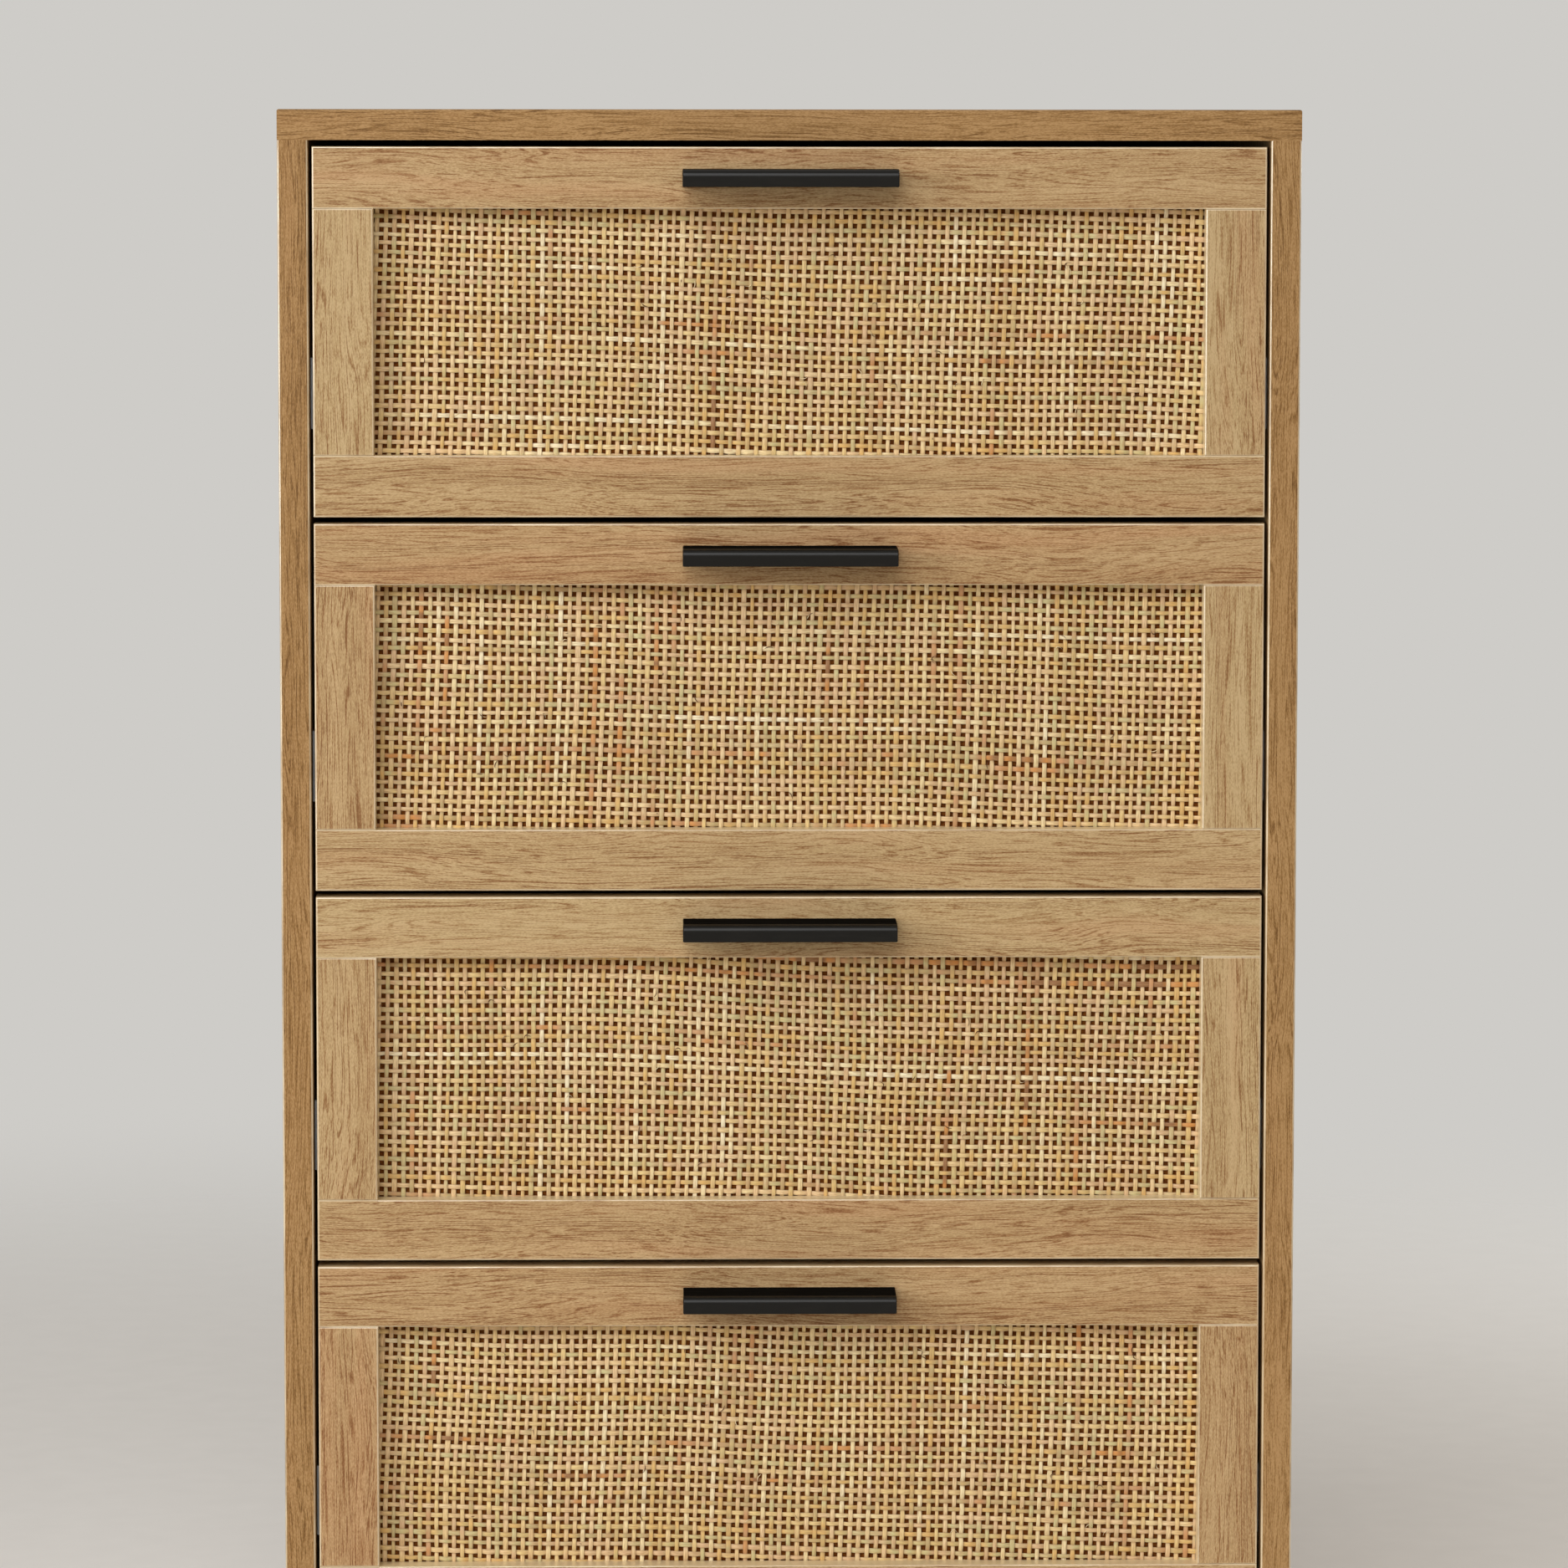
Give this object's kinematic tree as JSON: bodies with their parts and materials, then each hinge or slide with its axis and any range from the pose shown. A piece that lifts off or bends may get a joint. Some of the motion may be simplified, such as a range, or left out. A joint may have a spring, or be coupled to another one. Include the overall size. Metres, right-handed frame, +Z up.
{
  "type": "chest of drawers",
  "caption": "Narrow free-standing chest of drawers in light-oak foil, with framed woven-cane drawer fronts, black finger pulls and metal ball runners.",
  "frame": {"origin": "on the floor under the middle of the whole outline, pulls included", "axes": "+Z up, -Y out of the drawer fronts, +X to the right of someone facing them"},
  "size_m": [0.5, 0.427, 0.8341],
  "materials": {
    "oak_foil": "matt foil with oak grain",
    "natural_cane": "split cane, satin",
    "brown_hardboard": "smooth hardboard",
    "drawer_board": "foil-faced board",
    "drawer_hardboard": "printed hardboard",
    "black_metal": "satin black",
    "zinc_steel": "zinc plated",
    "plain_wood": "bare wood",
    "cage_plastic": "moulded",
    "glide_plastic": "moulded"
  },
  "bodies": {
    "cabinet": {"left_side_panel": "oak_foil", "right_side_panel": "oak_foil", "top_panel": "oak_foil", "bottom_panel": "oak_foil", "plinth_board": "oak_foil", "back_panel": "brown_hardboard", "floor_glides": "glide_plastic", "joint_tongues": "plain_wood", "left_cabinet_runners": "zinc_steel", "right_cabinet_runners": "zinc_steel"},
    "drawer_1": {"drawer_1_top_rail": "oak_foil", "drawer_1_bottom_rail": "oak_foil", "drawer_1_stiles": "oak_foil", "drawer_1_cane_webbing": "natural_cane", "drawer_1_backing_panel": "brown_hardboard", "drawer_1_handle": "black_metal", "drawer_1_left_box_side": "drawer_board", "drawer_1_right_box_side": "drawer_board", "drawer_1_box_back": "drawer_board", "drawer_1_box_bottom": "drawer_hardboard", "drawer_1_runners": "zinc_steel"},
    "drawer_1_cages": {"drawer_1_ball_cages": "cage_plastic"},
    "drawer_2": {"drawer_2_top_rail": "oak_foil", "drawer_2_bottom_rail": "oak_foil", "drawer_2_stiles": "oak_foil", "drawer_2_cane_webbing": "natural_cane", "drawer_2_backing_panel": "brown_hardboard", "drawer_2_handle": "black_metal", "drawer_2_left_box_side": "drawer_board", "drawer_2_right_box_side": "drawer_board", "drawer_2_box_back": "drawer_board", "drawer_2_box_bottom": "drawer_hardboard", "drawer_2_runners": "zinc_steel"},
    "drawer_2_cages": {"drawer_2_ball_cages": "cage_plastic"},
    "drawer_3": {"drawer_3_top_rail": "oak_foil", "drawer_3_bottom_rail": "oak_foil", "drawer_3_stiles": "oak_foil", "drawer_3_cane_webbing": "natural_cane", "drawer_3_backing_panel": "brown_hardboard", "drawer_3_handle": "black_metal", "drawer_3_left_box_side": "drawer_board", "drawer_3_right_box_side": "drawer_board", "drawer_3_box_back": "drawer_board", "drawer_3_box_bottom": "drawer_hardboard", "drawer_3_runners": "zinc_steel"},
    "drawer_3_cages": {"drawer_3_ball_cages": "cage_plastic"},
    "drawer_4": {"drawer_4_top_rail": "oak_foil", "drawer_4_bottom_rail": "oak_foil", "drawer_4_stiles": "oak_foil", "drawer_4_cane_webbing": "natural_cane", "drawer_4_backing_panel": "brown_hardboard", "drawer_4_handle": "black_metal", "drawer_4_left_box_side": "drawer_board", "drawer_4_right_box_side": "drawer_board", "drawer_4_box_back": "drawer_board", "drawer_4_box_bottom": "drawer_hardboard", "drawer_4_runners": "zinc_steel"},
    "drawer_4_cages": {"drawer_4_ball_cages": "cage_plastic"}
  },
  "joints": [
    {"name": "drawer_1_slide", "type": "slide", "parent": "cabinet", "child": "drawer_1", "axis": [0, -1, 0], "range_m": [0, 0.24]},
    {"name": "drawer_1_cage_roll", "type": "slide", "parent": "cabinet", "child": "drawer_1_cages", "axis": [0, -1, 0], "range_m": [0, 0.12]},
    {"name": "drawer_2_slide", "type": "slide", "parent": "cabinet", "child": "drawer_2", "axis": [0, -1, 0], "range_m": [0, 0.24]},
    {"name": "drawer_2_cage_roll", "type": "slide", "parent": "cabinet", "child": "drawer_2_cages", "axis": [0, -1, 0], "range_m": [0, 0.12]},
    {"name": "drawer_3_slide", "type": "slide", "parent": "cabinet", "child": "drawer_3", "axis": [0, -1, 0], "range_m": [0, 0.24]},
    {"name": "drawer_3_cage_roll", "type": "slide", "parent": "cabinet", "child": "drawer_3_cages", "axis": [0, -1, 0], "range_m": [0, 0.12]},
    {"name": "drawer_4_slide", "type": "slide", "parent": "cabinet", "child": "drawer_4", "axis": [0, -1, 0], "range_m": [0, 0.24]},
    {"name": "drawer_4_cage_roll", "type": "slide", "parent": "cabinet", "child": "drawer_4_cages", "axis": [0, -1, 0], "range_m": [0, 0.12]}
  ],
  "couplings": [
    {"joint": "drawer_1_cage_roll", "follows": "drawer_1_slide", "ratio": 0.5},
    {"joint": "drawer_2_cage_roll", "follows": "drawer_2_slide", "ratio": 0.5},
    {"joint": "drawer_3_cage_roll", "follows": "drawer_3_slide", "ratio": 0.5},
    {"joint": "drawer_4_cage_roll", "follows": "drawer_4_slide", "ratio": 0.5}
  ]
}
